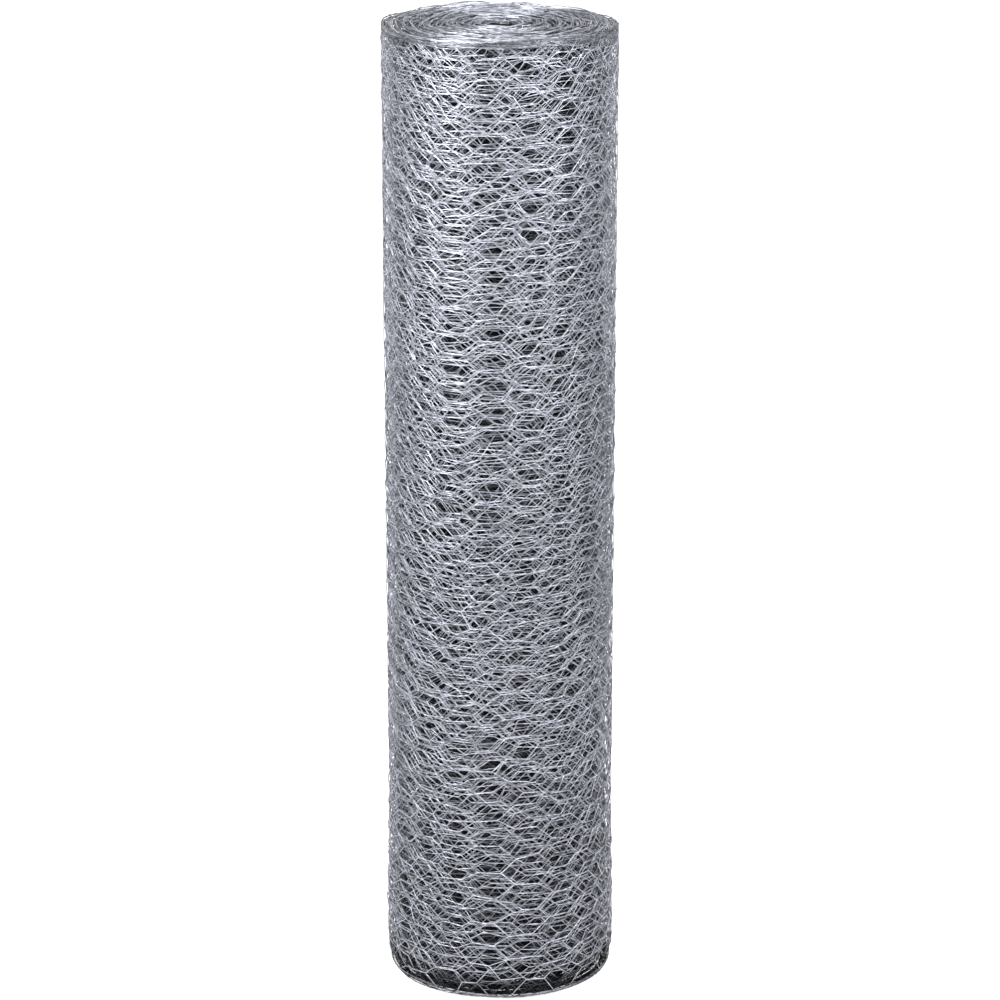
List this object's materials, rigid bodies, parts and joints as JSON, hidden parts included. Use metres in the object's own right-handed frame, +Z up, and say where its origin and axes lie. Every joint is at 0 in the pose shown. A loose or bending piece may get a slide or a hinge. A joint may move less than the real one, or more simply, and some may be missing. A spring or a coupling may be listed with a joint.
{
  "type": "roll of chicken wire",
  "caption": "Upright roll of galvanised hexagonal wire netting, wound tightly on a bar, with its wound selvedge showing on both ends, a bore up the middle and its loose end at the back.",
  "frame": {"origin": "middle of the foot, on the surface that the roll stands on", "axes": "+Z up the roll, along its bore; the side that the picture shows faces -Y, and the loose end of the netting lies at the back, 60 degrees from +X towards +Y"},
  "size_m": [0.2213, 0.2223, 0.9144],
  "materials": {
    "galvanised_wire": "galvanised wire, bluish grey and dull bright, with dark gaps between the wires"
  },
  "bodies": {
    "root": {"wire_netting_roll": "galvanised_wire"}
  },
  "joints": []
}
